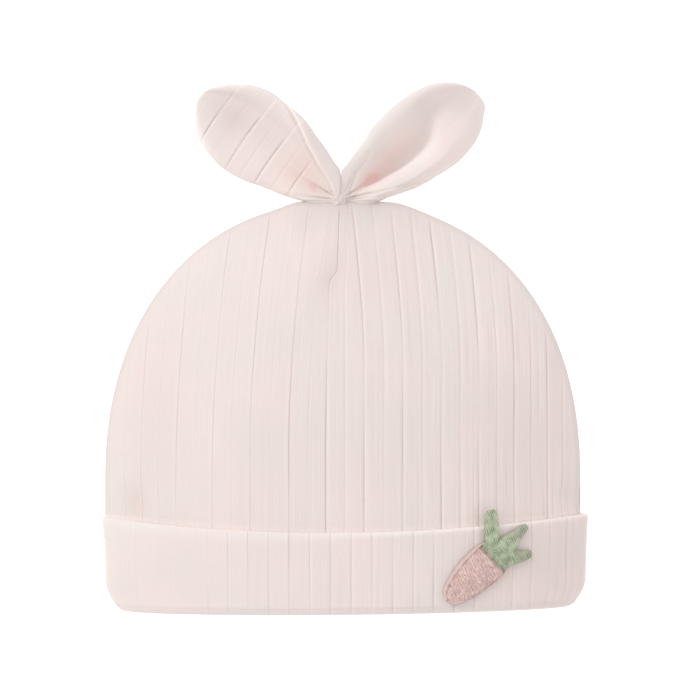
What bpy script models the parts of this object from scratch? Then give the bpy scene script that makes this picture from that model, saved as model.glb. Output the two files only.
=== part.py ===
# A baby's knitted hat with two rabbit ears, lying on its back, a little puffed and open at the hem.
# X runs across the hat, Y from the hem to the ears, Z up from the surface that it lies on.
# Heights below are measured from the hem, and the origin is on the flat of the back panel.
import math

import bmesh
import bpy
from mathutils import Vector

# Driving sizes, in metres.
CROWN_HALF_WIDTH = 0.0875
CROWN_TOP = 0.1498
WIDEST_HEIGHT = 0.0474
REST_HEIGHT = 0.0850
SEAM_HEIGHT = 0.0090
FRONT_ARCH = 0.0280
BACK_BELLY = 0.0280
CLOTH_WALL = 0.0016
RIB_PITCH = 0.0069
RIB_DEPTH = 0.00035
FIRST_GROOVE = 0.0013
CUFF_HEIGHT = 0.0345
CUFF_SAG = 0.0048
CUFF_WALL = 0.0016
CUFF_FLARE = 0.0008
CUFF_TURN_IN = 0.0120
CUFF_SQUEEZE = 0.0013
CUFF_TUCK = 0.0070
CUFF_SHIFT = 0.0007
CORNER_HEIGHT = 0.0110
CORNER_INSET = 0.0060
HEM_SKEW = 0.0009
EAR_LENGTH = 0.0592
EAR_HALF_WIDTH = 0.0165
EAR_ROOT_WIDTH = 0.0152
EAR_WALL = 0.0020
EAR_PRESS = 0.0022
EAR_FOLD_HEIGHT = 0.0044
EAR_RIB_PITCH = 0.0065
EAR_FIRST_GROOVE = 0.0061
CARROT_LENGTH = 0.0216
CARROT_HALF_WIDTH = 0.0056
CARROT_RIM = 0.0018
CARROT_THICK = 0.0036
CARROT_FROM_SIDE = 0.0498
CARROT_TIP_ACROSS = CROWN_HALF_WIDTH - CARROT_FROM_SIDE
CARROT_TIP_HEIGHT = 0.0040
LEAF_LENGTH = 0.0150
LEAF_RADIUS = 0.0025
LEAF_THICK = 0.0024
CLEARANCE = 0.0003

# Distances in from the side fold: the dome seam's start, the column beside it, the last rib.
SIDE_END = 0.0005
SIDE_COLUMN = 0.0013
LAST_RIB = 0.0031

# How far the ribs lean towards the middle under the ears, on the left and on the right.
LEAN_LEFT = 0.0066
LEAN_RIGHT = 0.0040

# How softly the back panel flattens on the surface, and how near points are joined.
PRESS_SOFT = 0.0015
JOIN_DISTANCE = 0.00001

# Shape numbers that have no unit.
DOME_ROUND = 2.2
PUFF_SHAPE = 2.1
PUFF_EDGE = 0.85
ROWS_ABOVE_CUFF = 8
ROW_CROWDING = 1.4
EAR_ROOT_SLANT = 0.90
EAR_SLANT_REACH = 0.30
EAR_ROOT_REACH = 0.16
EAR_COLUMNS = 10
CARROT_ANGLE = math.radians(43.8)
CARROT_SIDE = 0.28
CARROT_RINGS = 11
CARROT_SIDES = 14
CARROT_ROUND = 0.8
CARROT_END_FILL = 1.6
LEAF_RINGS = 7
LEAF_SIDES = 10
LEAF_BLUNT = 0.5
ARC_STEPS = 400
SEAM_STEPS = 40
RIB_FADE = 6
BACK_RIB_FADE = 3
CUFF_BEND_STEPS = 4
CUFF_RIM_SHARE = 1 / 3
MITER_LIMIT = 0.6
CUFF_REACH = 0.97
SLOPE_STEP = 0.01
EAR_LAST_RIB = 0.95
EAR_NEAR_TIP = 0.975
SHARP_ANGLE = math.radians(50)

# Where the ribs start to lean up the dome, and how far from the middle the lean is full.
TOP_LEAN = {-1: LEAN_LEFT, 1: LEAN_RIGHT}
LEAN_START = 0.30
LEAN_FULL = 0.20

# Dents of the front panel. Places and reaches are shares of the half width and of the full height.
DENTS = (
    # name, across, up, reach across, reach up, depth as a share of the arch
    ("middle_crease", -0.055, 0.80, 0.055, 0.070, 0.050),
    ("middle_fold", -0.130, 0.93, 0.045, 0.060, 0.030),
    ("right_fold", 0.110, 0.93, 0.045, 0.060, 0.030),
    ("left_pocket", -0.870, 0.265, 0.070, 0.045, 0.060),
    ("right_pocket", 0.930, 0.270, 0.050, 0.040, 0.050),
)

# Outline of each ear, one row for each station: share of the length, then the half widths on the
# outer and the inner side as shares of EAR_HALF_WIDTH.
EAR_OUTLINE = {
    "ear_left": (
        (0.00, 0.31, 0.33),
        (0.10, 0.40, 0.72),
        (0.20, 0.49, 0.91),
        (0.35, 0.64, 1.07),
        (0.50, 0.85, 1.13),
        (0.65, 0.89, 1.11),
        (0.80, 0.81, 0.99),
        (0.90, 0.63, 0.75),
        (0.97, 0.39, 0.45),
        (1.00, 0.14, 0.16),
    ),
    "ear_right": (
        (0.00, 0.26, 0.29),
        (0.10, 0.35, 0.72),
        (0.20, 0.43, 0.90),
        (0.35, 0.64, 1.00),
        (0.50, 0.76, 1.01),
        (0.65, 0.80, 0.99),
        (0.80, 0.73, 0.87),
        (0.90, 0.52, 0.64),
        (0.97, 0.27, 0.34),
        (1.00, 0.10, 0.12),
    ),
}

# Cross section of each ear from its outer edge (-1) to its inner edge (1): place, height as a
# share of the fold height. The left ear has a raised lip on its inner edge, the right one is cupped.
EAR_SECTION = {
    "ear_left": (
        (-1.00, 0.05),
        (-0.80, 0.42),
        (-0.35, 0.40),
        (0.20, 0.22),
        (0.50, 0.20),
        (0.72, 0.85),
        (0.88, 1.00),
        (1.00, 0.55),
    ),
    "ear_right": (
        (-1.00, 0.10),
        (-0.80, 0.72),
        (-0.60, 1.00),
        (-0.30, 0.50),
        (0.10, 0.02),
        (0.50, 0.22),
        (0.82, 0.75),
        (1.00, 0.95),
    ),
}

# How high the folds stand along each ear: share of the length, share of the fold height, lift
# of the whole section off the surface as a share of the seam's height.
EAR_FOLDS = {
    "ear_left": (
        (0.00, 0.68, 0.75),
        (0.08, 0.68, 0.75),
        (0.22, 0.91, 0.42),
        (0.50, 1.00, 0.12),
        (0.80, 0.82, 0.03),
        (1.00, 0.36, 0.05),
    ),
    "ear_right": (
        (0.00, 0.95, 0.70),
        (0.08, 0.95, 0.70),
        (0.22, 1.55, 0.28),
        (0.50, 1.50, 0.05),
        (0.80, 1.00, 0.03),
        (1.00, 0.50, 0.05),
    ),
}

# Which way each ear points, and the side of the hat that it is on.
EARS = {
    "ear_left": {"angle": math.radians(139.1), "side": -1, "ribbed": True},
    "ear_right": {"angle": math.radians(43.2), "side": 1, "ribbed": False},
}

# Half width of the carrot's root along its axis: share of the length, share of the half width.
CARROT_OUTLINE = (
    (0.00, 0.04),
    (0.06, 0.36),
    (0.19, 0.66),
    (0.34, 0.87),
    (0.50, 0.98),
    (0.72, 1.02),
    (0.92, 0.98),
    (1.00, 0.90),
)

# The leaves, all from one line past the root's end: place to the left of the root's axis as a
# share of the root's half width, angle from that axis in degrees, shares of length and radius.
LEAVES = (
    ("leaf_base", -0.875, 90.0, 0.73, 1.08),
    ("leaf_up", 0.61, 47.0, 0.97, 1.00),
    ("leaf_middle", 0.04, 1.5, 1.00, 0.84),
    ("leaf_side", -0.46, -33.0, 0.73, 0.88),
)

COLOURS = {
    "crown": (234, 219, 213),
    "cuff": (234, 219, 213),
    "ear_left": (234, 219, 213),
    "ear_right": (230, 213, 207),
    "carrot_root": (205, 174, 168),
    "carrot_leaves": (166, 176, 150),
}


def linear(value):
    """An sRGB value from 0 to 255 as linear light."""
    share = value / 255
    return share / 12.92 if share <= 0.04045 else ((share + 0.055) / 1.055) ** 2.4


def smooth_table(table, place, column):
    """A column of a table, read at a place between its rows with a smooth curve."""
    last = len(table) - 1
    index = 0
    while index < last - 1 and table[index + 1][0] < place:
        index += 1
    low, high = table[index], table[index + 1]
    before, after = table[max(index - 1, 0)], table[min(index + 2, last)]
    width = high[0] - low[0]
    share = min(max((place - low[0]) / width, 0.0), 1.0)
    slope_low = (high[column] - before[column]) / (high[0] - before[0]) * width
    slope_high = (after[column] - low[column]) / (after[0] - low[0]) * width
    square, cube = share**2, share**3
    return (
        (2 * cube - 3 * square + 1) * low[column]
        + (cube - 2 * square + share) * slope_low
        + (3 * square - 2 * cube) * high[column]
        + (cube - square) * slope_high
    )


def ease(share):
    """0 below 0, 1 above 1, and a smooth step between."""
    share = min(max(share, 0.0), 1.0)
    return share * share * (3 - 2 * share)


def rise_at(height):
    """How far a height is up the dome: 0 where the crown is widest, 1 at its top."""
    return max(0.0, height - WIDEST_HEIGHT) / (CROWN_TOP - WIDEST_HEIGHT)


def half_width_at(height):
    """Half the crown's width: the hem's round corners, the squeeze of the cuff and the dome."""
    corner = max(0.0, 1 - height / CORNER_HEIGHT)
    free = ease((height - CUFF_HEIGHT) / CUFF_TUCK)
    dome = max(0.0, 1 - rise_at(height) ** DOME_ROUND) ** (1 / DOME_ROUND)
    return (CROWN_HALF_WIDTH - CORNER_INSET * corner**2 - CUFF_SQUEEZE * (1 - free)) * dome


def puff(share, rise):
    """How far the cloth stands from the seam: 1 in the middle and 0 on the outline."""
    reach = (abs(share) ** DOME_ROUND + rise**DOME_ROUND) ** (1 / DOME_ROUND)
    return (1 - min(reach, 1.0) ** PUFF_SHAPE) ** PUFF_EDGE


def pressed(height, floor):
    """A height that flattens smoothly where it would go below the floor."""
    over = height - floor
    if over <= -PRESS_SOFT:
        return floor
    if over >= PRESS_SOFT:
        return height
    return floor + (over + PRESS_SOFT) ** 2 / (4 * PRESS_SOFT)


def front_height(share, rise):
    return SEAM_HEIGHT + FRONT_ARCH * puff(share, rise)


def back_height(share, rise, floor):
    return pressed(SEAM_HEIGHT - BACK_BELLY * puff(share, rise), floor)


def column_shares():
    """Places of the columns across the panel, each with 1 for a groove and 0 for a rib."""
    lengths = [0.0]
    for step in range(ARC_STEPS):
        near, far = step / ARC_STEPS, (step + 1) / ARC_STEPS
        climb = front_height(near, 0) - front_height(far, 0)
        lengths.append(lengths[-1] + math.hypot(CROWN_HALF_WIDTH / ARC_STEPS, climb))
    side = 1 - SIDE_COLUMN / CROWN_HALF_WIDTH
    columns = [(-1.0, 0), (-side, 0)]
    most = int(lengths[-1] / RIB_PITCH * 2) + 2
    for half_rib in range(-most, most + 1):
        along = FIRST_GROOVE + half_rib * RIB_PITCH / 2
        index = sum(1 for length in lengths if length < abs(along))
        share = math.copysign(index / ARC_STEPS, along)
        if abs(share) <= 1 - LAST_RIB / CROWN_HALF_WIDTH:
            columns.append((share, (half_rib + 1) % 2))
    return columns + [(side, 0), (1.0, 0)]


COLUMNS = column_shares()


def settled(across, height, up):
    """A point as the hat lies: the hem rises to the right, and the cuff sits off the middle."""
    fade = max(0.0, 1 - height / CROWN_TOP)
    shift = CUFF_SHIFT * (1 - ease((height - CUFF_HEIGHT) / (2 * CUFF_TUCK)))
    return Vector((across + shift, height + HEM_SKEW * fade * across / CROWN_HALF_WIDTH, up))


def across_at(share, height):
    """Place of a column at a height: the side folds follow the outline, and ribs lean in on top."""
    if abs(share) == 1.0:
        return share * half_width_at(height)
    side = 1 if share > 0 else -1
    lean = TOP_LEAN[side] * ease(abs(share) / LEAN_FULL)
    climb = max(0.0, rise_at(height) - LEAN_START) / (1 - LEAN_START)
    corner = half_width_at(min(height, WIDEST_HEIGHT)) / CROWN_HALF_WIDTH
    return share * CROWN_HALF_WIDTH * corner - side * lean * climb**1.5


def column_top(share):
    """Height at which a column meets the dome's seam."""
    if abs(share) == 1.0:
        rise = (1 - (1 - SIDE_END / CROWN_HALF_WIDTH) ** DOME_ROUND) ** (1 / DOME_ROUND)
        return WIDEST_HEIGHT + rise * (CROWN_TOP - WIDEST_HEIGHT)
    low, high = WIDEST_HEIGHT, CROWN_TOP
    for _ in range(SEAM_STEPS):
        middle = (low + high) / 2
        if abs(across_at(share, middle)) < half_width_at(middle):
            low = middle
        else:
            high = middle
    return low


def cuff_height_at(share, front):
    """Height of the cuff's free edge, which sags in the middle of the front."""
    sag = CUFF_SAG * (1 - share**2) if front else 0.0
    return CUFF_HEIGHT - sag


def dent_depth(across, height):
    """Depth of the front panel's dents at a point."""
    depth = 0.0
    for _, place, up, reach, reach_up, share in DENTS:
        far = (across / CROWN_HALF_WIDTH - place) / reach
        far_up = (height / CROWN_TOP - up) / reach_up
        depth += share * FRONT_ARCH * math.exp(-(far**2) - far_up**2)
    return depth


def crown_point(share, groove, row, front):
    """A point of the crown's outer side. Row 0 is the hidden edge in the cuff."""
    top = column_top(share)
    edge = cuff_height_at(share, front)
    if row == 0:
        height = CUFF_TURN_IN
    elif row == 1:
        height = edge
    else:
        start = edge + CUFF_TUCK
        part = (row - 2) / ROWS_ABOVE_CUFF
        height = start + (top - start) * (1 - (1 - part) ** ROW_CROWDING)
    across = across_at(share, height)
    half = half_width_at(height)
    spread = across / half_width_at(min(height, WIDEST_HEIGHT))
    rise = rise_at(height)
    if abs(across) >= half - JOIN_DISTANCE / 2:
        return settled(across, height, SEAM_HEIGHT)
    relief = RIB_DEPTH * groove * ease(puff(spread, rise) * RIB_FADE)
    if front:
        up = front_height(spread, rise) - relief - dent_depth(across, height)
    else:
        under = CLEARANCE + CUFF_WALL
        floor = under * (1 - ease((height - edge) / (2 * CUFF_TUCK)))
        bare = back_height(spread, rise, floor)
        up = bare + relief * ease((bare - floor) / SEAM_HEIGHT * BACK_RIB_FADE)
    return settled(across, height, up)


def to_origin(point):
    """From heights above the hem to the origin on the back panel."""
    return Vector((point.x, point.y - REST_HEIGHT, point.z))


def grid_of(mesh, columns, rows, place):
    """Adds a grid whose points are moved to place(column, row), and gives its faces."""
    made = bmesh.ops.create_grid(mesh, x_segments=columns, y_segments=rows, size=1.0)
    for vertex in made["verts"]:
        column = round((vertex.co.x + 1) / 2 * columns)
        row = round((vertex.co.y + 1) / 2 * rows)
        vertex.co = to_origin(place(column, row))
    return list({face for vertex in made["verts"] for face in vertex.link_faces})


def new_object(name, mesh, collection):
    """Ends a bmesh as a named object with its own material."""
    data = bpy.data.meshes.new(name)
    mesh.to_mesh(data)
    mesh.free()
    material = bpy.data.materials.new(name + "_cloth")
    material.use_nodes = True
    shader = material.node_tree.nodes["Principled BSDF"]
    red, green, blue = COLOURS[name]
    shader.inputs["Base Color"].default_value = (linear(red), linear(green), linear(blue), 1)
    shader.inputs["Roughness"].default_value = 0.9
    shader.inputs["Metallic"].default_value = 0.0
    data.materials.append(material)
    data.shade_smooth()
    data.set_sharp_from_angle(angle=SHARP_ANGLE)
    made = bpy.data.objects.new(name, data)
    collection.objects.link(made)
    return made


def add_wall(made, thickness):
    """Gives an open sheet of cloth its thickness, on its inner side."""
    wall = made.modifiers.new("wall", "SOLIDIFY")
    wall.thickness = thickness
    wall.offset = -1
    wall.use_even_offset = True


def close_up(mesh):
    """Joins points that fall together and turns the faces outwards."""
    bmesh.ops.remove_doubles(mesh, verts=mesh.verts, dist=JOIN_DISTANCE)
    if mesh.calc_volume(signed=True) < 0:
        bmesh.ops.reverse_faces(mesh, faces=mesh.faces)


def build_crown(collection):
    """Front and back panel, joined along the dome's seam and the side folds, open at the hem."""
    mesh = bmesh.new()
    last = len(COLUMNS) - 1
    rows = ROWS_ABOVE_CUFF + 2
    grid_of(mesh, last, rows, lambda column, row: crown_point(*COLUMNS[column], row, True))
    back = grid_of(mesh, last, rows, lambda column, row: crown_point(*COLUMNS[column], row, False))
    bmesh.ops.reverse_faces(mesh, faces=back)
    bmesh.ops.remove_doubles(mesh, verts=mesh.verts, dist=JOIN_DISTANCE)
    crown = new_object("crown", mesh, collection)
    add_wall(crown, CLOTH_WALL)


def cuff_loop():
    """The columns round the hat: across the front, then back under it."""
    front = [(share, groove, True) for share, groove in COLUMNS]
    back = [(share, groove, False) for share, groove in reversed(COLUMNS[1:-1])]
    return front + back


def loop_point(step, height):
    """A point of the crown's outer side in the cuff's zone, as across and up."""
    share, _, front = step
    across = share * half_width_at(height)
    if front:
        return Vector((across, front_height(share, 0)))
    return Vector((across, back_height(share, 0, CLEARANCE + CUFF_WALL)))


def cuff_profile(edge):
    """Section through the cuff as offset from the crown's outer side and height."""
    outside = CLEARANCE + CUFF_WALL
    inside = -CLOTH_WALL
    middle = (outside + inside) / 2
    radius = (outside - inside) / 2
    profile = []
    for step in range(CUFF_BEND_STEPS + 1):
        angle = math.pi * step / CUFF_BEND_STEPS
        profile.append((middle + radius * math.cos(angle), radius * (1 - math.sin(angle))))
    rim = CUFF_WALL * CUFF_RIM_SHARE
    bend = (radius + CORNER_HEIGHT) / 2
    profile += [
        (inside, bend),
        (inside, CUFF_TURN_IN - CLEARANCE),
        (0.0, CUFF_TURN_IN - CLEARANCE),
        (0.0, bend),
        (0.0, radius),
        (CLEARANCE, radius),
        (CLEARANCE, bend),
        (CLEARANCE, CORNER_HEIGHT),
        (CLEARANCE, edge - rim),
        (CLEARANCE + rim, edge),
        (outside - rim, edge),
        (outside, edge - rim),
        (outside, CORNER_HEIGHT),
        (outside, bend),
    ]
    return profile


def cuff_point(loop, column, row):
    """A point of the cuff: its profile carried round the hat."""
    count = len(loop)
    step = loop[column % count]
    share, groove, front = step
    profile = cuff_profile(cuff_height_at(share, front))
    offset, height = profile[row % len(profile)]
    here = loop_point(step, height)
    before = here - loop_point(loop[(column - 1) % count], height)
    after = loop_point(loop[(column + 1) % count], height) - here
    before.normalize()
    after.normalize()
    along = (before + after).normalized()
    outward = Vector((-along.y, along.x))
    miter = 1 / max(MITER_LIMIT, math.sqrt((1 + before.dot(after)) / 2))
    lifted = ease(here.y / SEAM_HEIGHT)
    if offset > CLEARANCE:
        offset -= RIB_DEPTH * groove * lifted
    if height > CUFF_TURN_IN:
        offset += CUFF_FLARE * lifted * (height / CUFF_HEIGHT) ** 2
    spot = here + outward * offset * miter
    return settled(spot.x, height, max(spot.y, 0.0))


def build_cuff(collection):
    """The turned-up band: a short leg inside, the fold of the hem, and the outer leg."""
    mesh = bmesh.new()
    loop = cuff_loop()
    rows = len(cuff_profile(CUFF_HEIGHT))
    grid_of(mesh, len(loop), rows, lambda column, row: cuff_point(loop, column, row))
    close_up(mesh)
    new_object("cuff", mesh, collection)


def ear_rows(ribbed):
    """Stations along an ear, each with 1 for a groove and 0 for a rib."""
    rows = [(0.0, 0)]
    half_ribs = int((EAR_LENGTH - EAR_FIRST_GROOVE) / (EAR_RIB_PITCH / 2))
    for half_rib in range(half_ribs + 1):
        along = (EAR_FIRST_GROOVE + half_rib * EAR_RIB_PITCH / 2) / EAR_LENGTH
        if along < EAR_LAST_RIB:
            rows.append((along, (half_rib + 1) % 2 if ribbed else 0))
    return rows + [(EAR_NEAR_TIP, 0), (1.0, 0)]


def ear_point(name, station, place):
    """A point of an ear's upper side: place runs from -1 on the outer to 1 on the inner edge."""
    side = EARS[name]["side"]
    angle = EARS[name]["angle"]
    share, groove = station
    along_way = Vector((math.cos(angle), math.sin(angle)))
    inner_way = Vector((math.sin(angle), -math.cos(angle))) * -side
    outer_half = smooth_table(EAR_OUTLINE[name], share, 1) * EAR_HALF_WIDTH
    inner_half = smooth_table(EAR_OUTLINE[name], share, 2) * EAR_HALF_WIDTH
    over = place * (inner_half if place > 0 else outer_half)
    slant = EAR_ROOT_SLANT * max(0.0, 1 - share / EAR_SLANT_REACH)
    root_middle = side * (EAR_ROOT_WIDTH / 2 + CLEARANCE / 2)
    root = Vector((root_middle, CROWN_TOP + CLEARANCE))
    spot = root + along_way * (share * EAR_LENGTH - slant * over) + inner_way * over
    # The two ears press against each other beside the tack.
    beside = side * spot.x
    if beside < EAR_PRESS:
        spot.x = side * (EAR_PRESS * math.exp(beside / EAR_PRESS - 1) + CLEARANCE / 2)
    # The root itself follows the crown's top edge.
    hold = 1 - ease(share / EAR_ROOT_REACH)
    gathered = root_middle - side * place * EAR_ROOT_WIDTH / 2
    edge = CROWN_TOP - (CROWN_TOP - WIDEST_HEIGHT) * (
        1 - (1 - abs(gathered / CROWN_HALF_WIDTH) ** DOME_ROUND) ** (1 / DOME_ROUND)
    )
    spot = spot * (1 - hold) + Vector((gathered, edge + CLEARANCE)) * hold
    fold = smooth_table(EAR_FOLDS[name], share, 1) * EAR_FOLD_HEIGHT
    lift = smooth_table(EAR_FOLDS[name], share, 2) * SEAM_HEIGHT
    up = EAR_WALL + lift + fold * smooth_table(EAR_SECTION[name], place, 1)
    up -= RIB_DEPTH * groove * (1 - abs(place) ** 4)
    return Vector((spot.x, spot.y, up))


def build_ear(name, collection):
    """An ear: two layers of cloth as one thick leaf, folded along its length."""
    mesh = bmesh.new()
    stations = ear_rows(EARS[name]["ribbed"])

    def place(column, row):
        across = -math.cos(math.pi * column / EAR_COLUMNS)
        across = (across + 2 * column / EAR_COLUMNS - 1) / 2
        return ear_point(name, stations[row], across)

    faces = grid_of(mesh, EAR_COLUMNS, len(stations) - 1, place)
    under = bmesh.ops.extrude_face_region(mesh, geom=faces, use_keep_orig=True)["geom"]
    for vertex in under:
        if isinstance(vertex, bmesh.types.BMVert):
            vertex.co.z -= EAR_WALL
    bmesh.ops.recalc_face_normals(mesh, faces=mesh.faces)
    close_up(mesh)
    new_object(name, mesh, collection)


def on_cuff(across, height, thick):
    """A height above the front of the cuff, measured square to its cloth."""
    half = half_width_at(height)
    share = min(abs(across / half), CUFF_REACH)
    climb = front_height(share + SLOPE_STEP, 0) - front_height(share - SLOPE_STEP, 0)
    slope = climb / (2 * SLOPE_STEP * half)
    flare = CUFF_FLARE * (min(height, CUFF_HEIGHT) / CUFF_HEIGHT) ** 2
    offset = 2 * CLEARANCE + CUFF_WALL + flare + thick
    return front_height(share, 0) + offset * math.sqrt(1 + slope**2)


def padded_point(start, angle, along, over, thick):
    """A point of a padded piece on the cuff, from its own axis."""
    across = start.x + along * math.cos(angle) - over * math.sin(angle)
    height = start.y + along * math.sin(angle) + over * math.cos(angle)
    return settled(across, height, on_cuff(across, height, thick))


def build_carrot_root(collection):
    """The padded root, with a low rim along its upper left side."""
    mesh = bmesh.new()
    start = Vector((CARROT_TIP_ACROSS, CARROT_TIP_HEIGHT))

    def place(column, row):
        share = row / CARROT_RINGS
        share = ease(share) * 0.5 + share * 0.5
        half = smooth_table(CARROT_OUTLINE, share, 1) * CARROT_HALF_WIDTH
        if row in (0, CARROT_RINGS):
            half = 0.0
        turn = 2 * math.pi * column / CARROT_SIDES
        over = half * math.cos(turn)
        full = half / CARROT_HALF_WIDTH
        if over > 0:
            over *= 1 + CARROT_RIM / CARROT_HALF_WIDTH
        rise = math.sin(turn)
        if rise > 0:
            section = CARROT_SIDE + (1 - CARROT_SIDE) * rise**CARROT_ROUND
        else:
            section = CARROT_SIDE * (1 + rise)
        thick = CARROT_THICK * section * min(1.0, full * CARROT_END_FILL)
        return padded_point(start, CARROT_ANGLE, share * CARROT_LENGTH, over, thick)

    grid_of(mesh, CARROT_SIDES, CARROT_RINGS, place)
    close_up(mesh)
    new_object("carrot_root", mesh, collection)


def leaf_mesh(over_share, degrees, length_share, radius_share):
    """One leaf: a flat rounded finger on the cuff."""
    mesh = bmesh.new()
    angle = CARROT_ANGLE + math.radians(degrees)
    over = over_share * CARROT_HALF_WIDTH
    length = length_share * LEAF_LENGTH
    radius = radius_share * LEAF_RADIUS
    past = CARROT_LENGTH + CLEARANCE + LEAVES[0][-1] * LEAF_RADIUS
    start = Vector((
        CARROT_TIP_ACROSS + past * math.cos(CARROT_ANGLE) - over * math.sin(CARROT_ANGLE),
        CARROT_TIP_HEIGHT + past * math.sin(CARROT_ANGLE) + over * math.cos(CARROT_ANGLE),
    ))

    def place(column, row):
        half_turn = math.pi * row / LEAF_RINGS
        along = length * (1 - math.cos(half_turn)) / 2
        blunt = math.sin(half_turn) ** LEAF_BLUNT
        turn = 2 * math.pi * column / LEAF_SIDES
        thick = LEAF_THICK * (1 + math.sin(turn) * blunt) / 2
        return padded_point(start, angle, along, radius * blunt * math.cos(turn), thick)

    grid_of(mesh, LEAF_SIDES, LEAF_RINGS, place)
    close_up(mesh)
    return mesh


def build_leaves(collection, helpers):
    """Three leaves on a common base at the root's shoulder, joined to one piece."""
    first, *others = LEAVES
    leaves = new_object("carrot_leaves", leaf_mesh(*first[1:]), collection)
    for name, *sizes in others:
        data = bpy.data.meshes.new(name)
        mesh = leaf_mesh(*sizes)
        mesh.to_mesh(data)
        mesh.free()
        helper = bpy.data.objects.new(name, data)
        helper.hide_render = True
        helper.display_type = "WIRE"
        helpers.objects.link(helper)
        join = leaves.modifiers.new(name, "BOOLEAN")
        join.operation = "UNION"
        join.object = helper


def main():
    for old in list(bpy.data.objects):
        bpy.data.objects.remove(old, do_unlink=True)
    hat = bpy.data.collections.new("baby_hat_with_ears")
    helpers = bpy.data.collections.new("helpers")
    for collection in (hat, helpers):
        bpy.context.scene.collection.children.link(collection)
    build_crown(hat)
    build_cuff(hat)
    for name in EARS:
        build_ear(name, hat)
    build_carrot_root(hat)
    build_leaves(hat, helpers)


main()
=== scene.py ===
import math

import bmesh
import bpy
import numpy as np
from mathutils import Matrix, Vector


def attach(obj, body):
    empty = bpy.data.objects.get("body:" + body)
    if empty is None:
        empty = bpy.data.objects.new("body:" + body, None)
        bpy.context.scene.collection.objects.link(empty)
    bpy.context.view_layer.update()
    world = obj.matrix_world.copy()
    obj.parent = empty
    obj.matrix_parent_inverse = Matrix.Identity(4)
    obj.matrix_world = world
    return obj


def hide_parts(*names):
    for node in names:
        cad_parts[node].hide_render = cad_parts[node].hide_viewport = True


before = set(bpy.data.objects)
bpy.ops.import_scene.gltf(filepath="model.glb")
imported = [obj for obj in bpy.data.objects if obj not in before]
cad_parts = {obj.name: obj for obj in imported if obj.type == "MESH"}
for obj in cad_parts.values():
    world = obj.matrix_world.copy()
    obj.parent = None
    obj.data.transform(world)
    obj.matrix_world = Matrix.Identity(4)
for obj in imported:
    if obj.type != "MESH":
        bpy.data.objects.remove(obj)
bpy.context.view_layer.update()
print("frame loaded:", ", ".join(sorted(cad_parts)))

# The hat's own measures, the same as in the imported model. Heights are from the hem.
hat = {
    "halfWidth": 0.0875,
    "top": 0.1498,
    "widest": 0.0474,
    "rest": 0.0850,
    "seam": 0.0090,
    "arch": 0.0280,
    "belly": 0.0280,
    "wall": 0.0016,
    "gap": 0.0003,
    "domeRound": 2.22,
    "puffShape": 2.1,
    "puffEdge": 0.85,
    "cornerHeight": 0.0110,
    "cornerInset": 0.0054,
    "skew": 0.0009,
    "sideEnd": 0.0005,
    "pressSoft": 0.0015,
    "offMiddle": -0.0004,
    "sideRoom": 0.0014,
    "sideSteps": (0.0, 0.0004, 0.0009),
}
band = {
    "height": 0.0345,
    "sag": 0.0048,
    "wall": 0.0016,
    "flare": 0.0008,
    "curl": 0.0011,
    "turnIn": 0.0120,
    "squeeze": 0.0013,
    "tuck": 0.0070,
    "offMiddle": 0.0008,
}
# How each side's ribs lean towards the middle under the ears
lean = {
    "left": {"reach": 0.0072, "full": 0.20, "start": 0.10, "curve": 1.8},
    "right": {"reach": 0.0046, "full": 0.07, "start": 0.45, "curve": 1.5},
    "nudge": 0.0010,
}
# Where the dome's edge stands fuller beside the ears
shoulders = {
    "lift": 0.0012,
    "left": {"place": 0.0165, "reach": 0.0068},
    "right": {"place": 0.0195, "reach": 0.0095},
}


# Small maths on arrays
def ease(share):
    share = np.clip(share, 0.0, 1.0)
    return share * share * (3 - 2 * share)


def bell(share):
    return np.exp(-np.square(share))


def smoothTable(rows, place, column=1):
    # reads a column of a table between its rows with a smooth curve
    spots = np.array([row[0] for row in rows], float)
    values = np.array([row[column] for row in rows], float)
    slopes = np.empty(len(spots))
    slopes[1:-1] = (values[2:] - values[:-2]) / (spots[2:] - spots[:-2])
    slopes[0] = (values[1] - values[0]) / (spots[1] - spots[0])
    slopes[-1] = (values[-1] - values[-2]) / (spots[-1] - spots[-2])
    low = np.clip(np.searchsorted(spots, place, side="right") - 1, 0, len(spots) - 2)
    width = spots[low + 1] - spots[low]
    share = np.clip((place - spots[low]) / width, 0.0, 1.0)
    square, cube = share**2, share**3
    return (
        (2 * cube - 3 * square + 1) * values[low]
        + (cube - 2 * square + share) * slopes[low] * width
        + (3 * square - 2 * cube) * values[low + 1]
        + (cube - square) * slopes[low + 1] * width
    )


def waves(across, along, size, seed):
    # a soft wobble between about -1 and 1, the same on each run
    pick = np.random.default_rng(seed)
    total = 0.0
    for _ in range(7):
        turn = pick.uniform(0, 2 * math.pi)
        pace = 2 * math.pi / (size * pick.uniform(0.7, 1.6))
        start = pick.uniform(0, 2 * math.pi)
        total = total + np.sin((across * math.cos(turn) + along * math.sin(turn)) * pace + start)
    return total / 3.5


# The hat's outline and how its two panels puff up
def riseAt(height):
    return np.maximum(0.0, height - hat["widest"]) / (hat["top"] - hat["widest"])


def halfWidthAt(height):
    corner = np.maximum(0.0, 1 - height / hat["cornerHeight"])
    free = np.clip(height / band["height"], 0.0, 1.0) ** 2
    dome = np.maximum(0.0, 1 - riseAt(height) ** hat["domeRound"]) ** (1 / hat["domeRound"])
    flat = hat["halfWidth"] - hat["cornerInset"] * corner**2 - band["squeeze"] * (1 - free)
    return flat * dome


def puff(share, rise):
    reach = (np.abs(share) ** hat["domeRound"] + rise ** hat["domeRound"]) ** (1 / hat["domeRound"])
    return (1 - np.minimum(reach, 1.0) ** hat["puffShape"]) ** hat["puffEdge"]


def frontHeight(share, rise):
    return hat["seam"] + hat["arch"] * puff(share, rise)


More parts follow.
